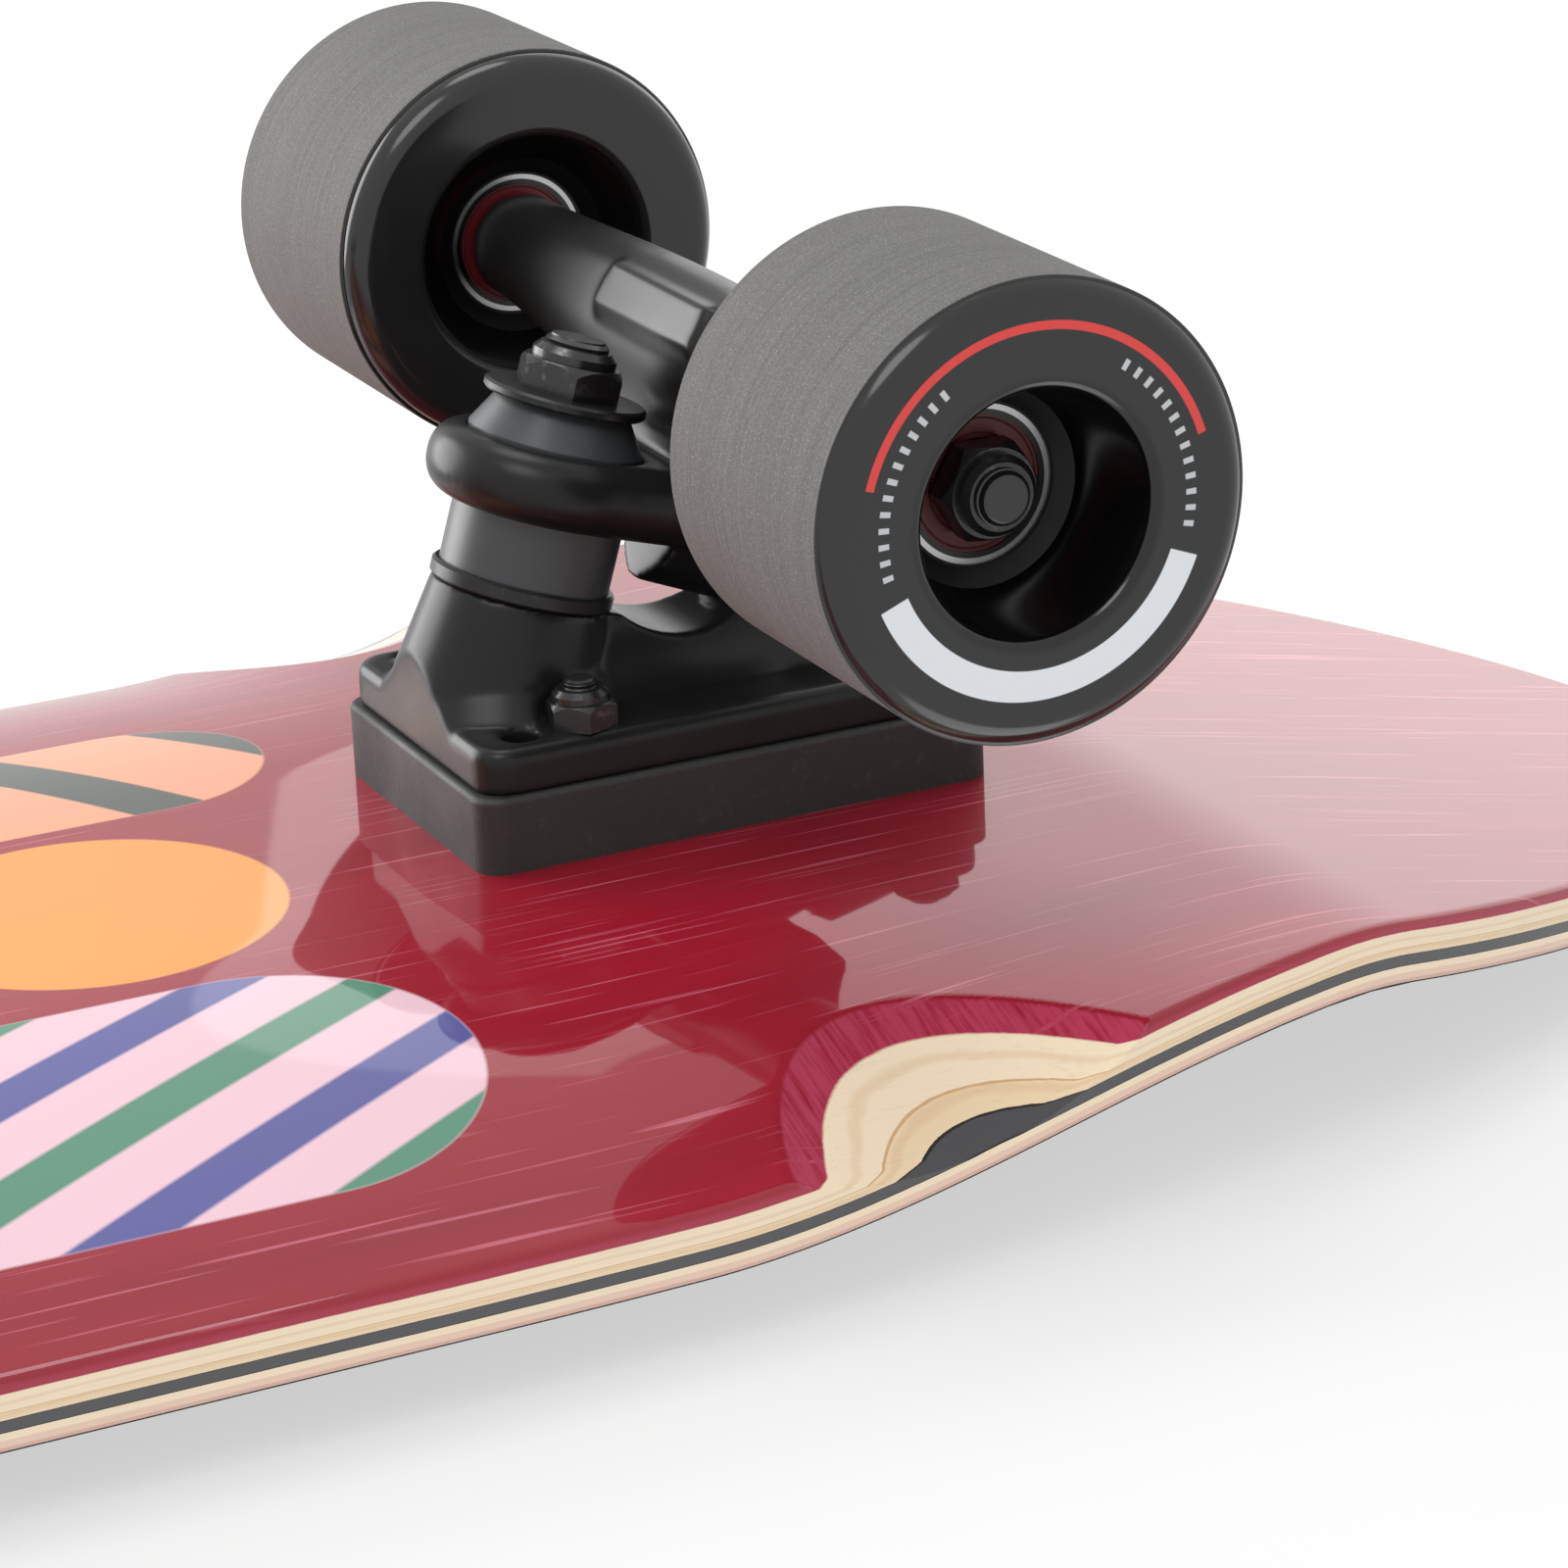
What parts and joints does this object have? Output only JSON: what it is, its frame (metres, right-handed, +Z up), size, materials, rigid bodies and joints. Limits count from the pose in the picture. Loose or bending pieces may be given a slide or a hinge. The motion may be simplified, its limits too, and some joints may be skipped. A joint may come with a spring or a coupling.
{
  "type": "longboard skateboard",
  "caption": "Top-mount cruising longboard with a laminated double-kick deck, drum-sanded wheel wells, sprung steering trucks and soft wheels on bearings.",
  "frame": {"origin": "ground plane under the board's centre, standing on its wheels", "axes": "+X along the board, +Y across it, +Z up"},
  "size_m": [0.889, 0.243, 0.1318],
  "materials": {
    "stained_veneer": "gloss clear coat over a crimson stain",
    "maple": "sanded and sealed",
    "maple_cross": "sanded and sealed",
    "maple_tan": "sanded and sealed",
    "charcoal_ply": "dyed, sanded and sealed",
    "maple_rose": "sanded and sealed",
    "top_veneer": "sealed",
    "grip": "coarse abrasive sheet",
    "riser_rubber": "matte, scuffed",
    "cast_black": "satin black over cast aluminium",
    "cup_urethane": "satin",
    "black_steel": "black oxide",
    "washer_steel": "black oxide, satin",
    "bushing_urethane": "satin urethane",
    "bolt_steel": "black oxide",
    "axle_steel": "turned",
    "nut_black": "black oxide",
    "bearing_steel": "polished",
    "wheel_urethane": "gloss lips, stone-ground tread",
    "core_plastic": "gloss",
    "shield_red": "satin"
  },
  "bodies": {
    "board": {"ply_1_stained_veneer": "stained_veneer", "ply_2_maple": "maple", "ply_3_maple_cross": "maple_cross", "ply_4_maple_tan": "maple_tan", "ply_5_charcoal": "charcoal_ply", "ply_6_maple": "maple", "ply_7_maple_rose": "maple_rose", "ply_8_top_veneer": "top_veneer", "grip_sheet": "grip", "riser_front": "riser_rubber", "baseplate_front": "cast_black", "pivot_cup_front": "cup_urethane", "kingpin_front": "black_steel", "kingpin_nut_front": "black_steel", "cup_washer_front": "washer_steel", "top_washer_front": "washer_steel", "barrel_bushing_front": "bushing_urethane", "cone_bushing_front": "bushing_urethane", "mounting_bolts_front": "bolt_steel", "mounting_nuts_front": "bolt_steel", "riser_rear": "riser_rubber", "baseplate_rear": "cast_black", "pivot_cup_rear": "cup_urethane", "kingpin_rear": "black_steel", "kingpin_nut_rear": "black_steel", "cup_washer_rear": "washer_steel", "top_washer_rear": "washer_steel", "barrel_bushing_rear": "bushing_urethane", "cone_bushing_rear": "bushing_urethane", "mounting_bolts_rear": "bolt_steel", "mounting_nuts_rear": "bolt_steel"},
    "hanger_front": {"hanger_front": "cast_black", "axle_front": "axle_steel", "axle_washers_front": "axle_steel", "axle_nuts_front": "nut_black", "bearing_inner_races_front": "bearing_steel", "bearing_spacers_front": "bearing_steel"},
    "wheel_front_left": {"wheel_tread_front_left": "wheel_urethane", "wheel_core_front_left": "core_plastic", "wheel_bearing_outer_races_front_left": "bearing_steel", "wheel_bearing_shields_front_left": "shield_red"},
    "wheel_front_right": {"wheel_tread_front_right": "wheel_urethane", "wheel_core_front_right": "core_plastic", "wheel_bearing_outer_races_front_right": "bearing_steel", "wheel_bearing_shields_front_right": "shield_red"},
    "hanger_rear": {"hanger_rear": "cast_black", "axle_rear": "axle_steel", "axle_washers_rear": "axle_steel", "axle_nuts_rear": "nut_black", "bearing_inner_races_rear": "bearing_steel", "bearing_spacers_rear": "bearing_steel"},
    "wheel_rear_left": {"wheel_tread_rear_left": "wheel_urethane", "wheel_core_rear_left": "core_plastic", "wheel_bearing_outer_races_rear_left": "bearing_steel", "wheel_bearing_shields_rear_left": "shield_red"},
    "wheel_rear_right": {"wheel_tread_rear_right": "wheel_urethane", "wheel_core_rear_right": "core_plastic", "wheel_bearing_outer_races_rear_right": "bearing_steel", "wheel_bearing_shields_rear_right": "shield_red"}
  },
  "joints": [
    {"name": "steer_front", "type": "hinge", "parent": "board", "child": "hanger_front", "pos_m": [0.2965, 0, 0.0765], "axis": [-0.8595, 0, -0.5111], "range_deg": [-15, 15], "stiffness_Nm_per_rad": 40, "deforming": ["barrel_bushing_front", "cone_bushing_front"]},
    {"name": "spin_front_left", "type": "hinge", "parent": "hanger_front", "child": "wheel_front_left", "pos_m": [0.2745, 0, 0.0315], "axis": [0, 1, 0], "continuous": true},
    {"name": "spin_front_right", "type": "hinge", "parent": "hanger_front", "child": "wheel_front_right", "pos_m": [0.2745, 0, 0.0315], "axis": [0, 1, 0], "continuous": true},
    {"name": "steer_rear", "type": "hinge", "parent": "board", "child": "hanger_rear", "pos_m": [-0.2965, 0, 0.0765], "axis": [0.8595, 0, -0.5111], "range_deg": [-15, 15], "stiffness_Nm_per_rad": 40, "deforming": ["barrel_bushing_rear", "cone_bushing_rear"]},
    {"name": "spin_rear_left", "type": "hinge", "parent": "hanger_rear", "child": "wheel_rear_left", "pos_m": [-0.2745, 0, 0.0315], "axis": [0, 1, 0], "continuous": true},
    {"name": "spin_rear_right", "type": "hinge", "parent": "hanger_rear", "child": "wheel_rear_right", "pos_m": [-0.2745, 0, 0.0315], "axis": [0, 1, 0], "continuous": true}
  ]
}
